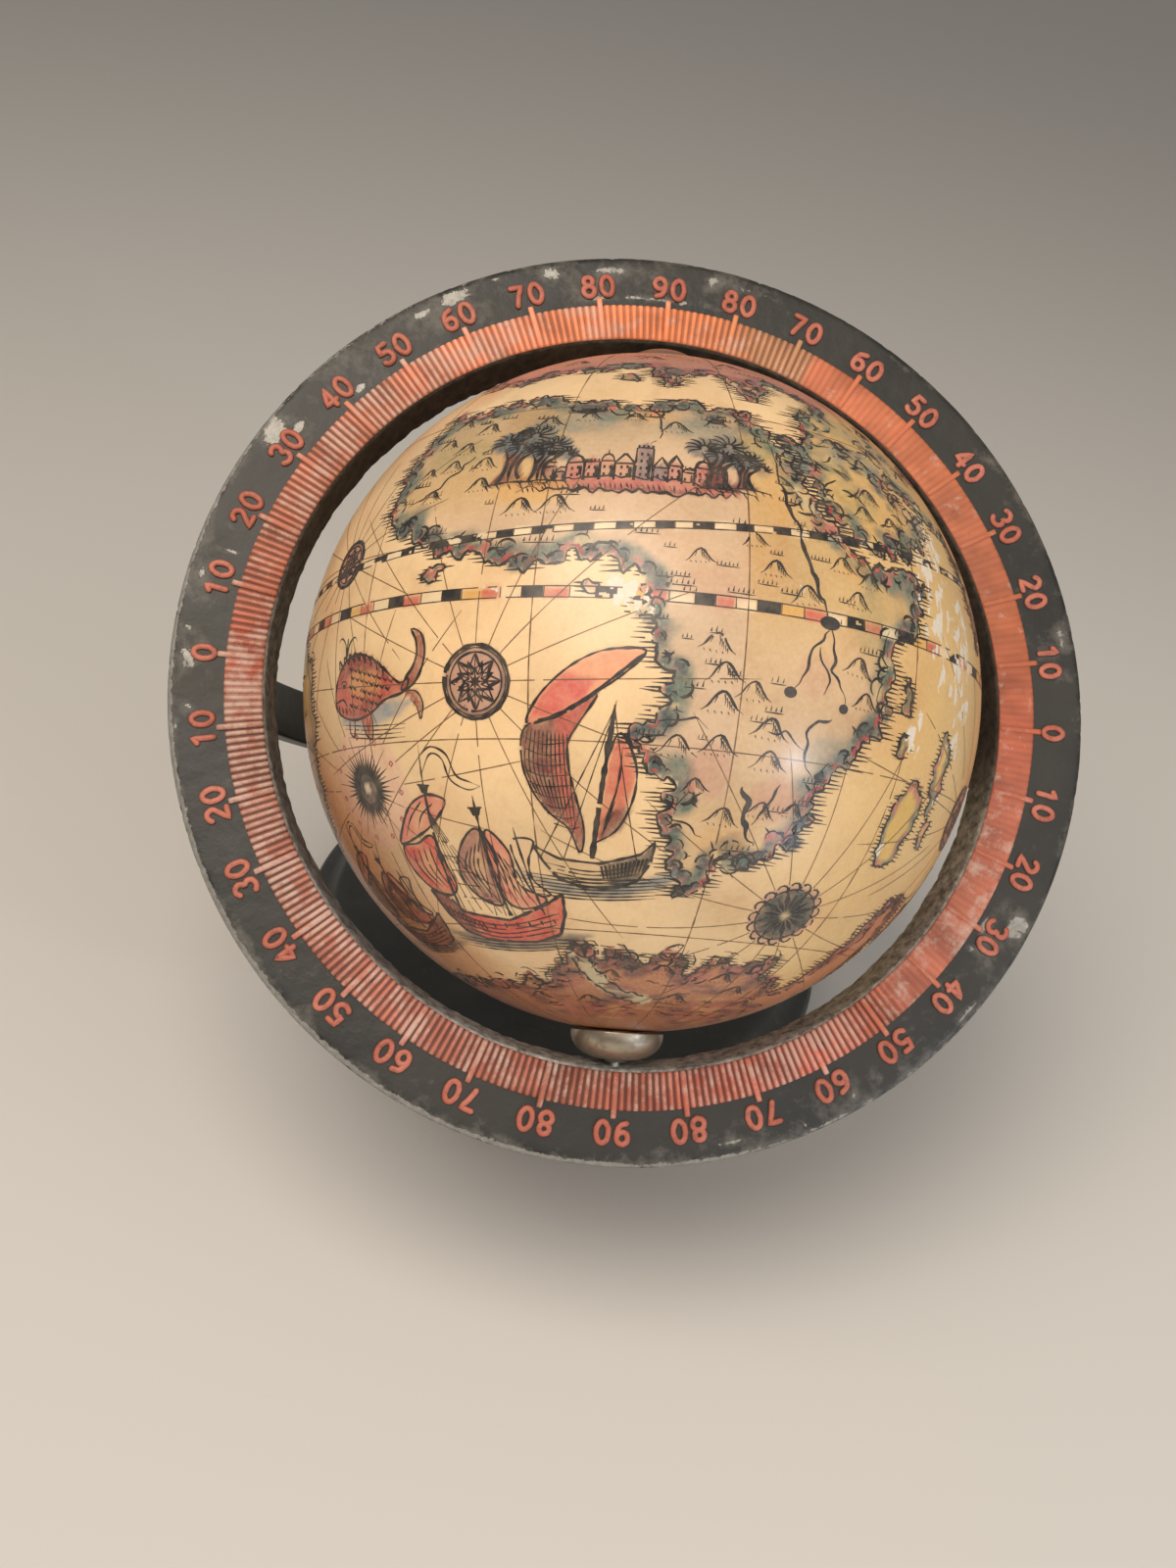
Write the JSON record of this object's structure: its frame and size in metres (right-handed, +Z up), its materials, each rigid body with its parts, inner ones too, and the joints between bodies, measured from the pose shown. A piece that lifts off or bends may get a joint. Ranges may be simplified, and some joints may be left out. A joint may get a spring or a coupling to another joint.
{
  "type": "desktop globe on stand",
  "caption": "Small old-style globe that spins on pole pins inside a flat graduated meridian ring, which tilts by friction in a yoke on a round weighted base.",
  "frame": {"origin": "middle of the base's underside, on the surface it stands on", "axes": "+Z up, the ring's graduated face looks towards -Y and up, +X to the right"},
  "size_m": [0.1388, 0.1421, 0.1385],
  "materials": {
    "ring_paint": "worn black-green paint with orange-red raised scale",
    "map_paper": "varnished printed paper map",
    "card": "bare grey-brown card",
    "brass": "plain turned",
    "nickel": "dull worn nickel plate",
    "steel": "plain",
    "washer_leather": "compressed",
    "stand_paint": "satin black enamel, lightly worn",
    "felt": "dark green felt"
  },
  "bodies": {
    "stand": {"yoke": "stand_paint", "stem": "stand_paint", "base": "stand_paint", "base_washer": "steel", "base_screw": "steel", "felt_pad": "felt"},
    "ring": {"meridian_ring": "ring_paint", "north_pole_cup": "nickel", "south_pole_cup": "nickel", "north_pole_pin": "steel", "south_pole_pin": "steel", "left_trunnion_screw": "nickel", "right_trunnion_screw": "nickel", "left_friction_washer": "washer_leather", "right_friction_washer": "washer_leather"},
    "globe": {"globe_north_half": "map_paper", "globe_south_half": "map_paper", "globe_joining_band": "card", "north_pole_bush": "brass", "south_pole_bush": "brass"}
  },
  "joints": [
    {"name": "ring_tilt", "type": "hinge", "parent": "stand", "child": "ring", "pos_m": [0, -0.03151, 0.08], "axis": [1, 0, 0], "range_deg": [-40, 35]},
    {"name": "globe_spin", "type": "hinge", "parent": "ring", "child": "globe", "pos_m": [0, -0.04, 0.08849], "axis": [0, 0.7071, 0.7071], "continuous": true}
  ]
}
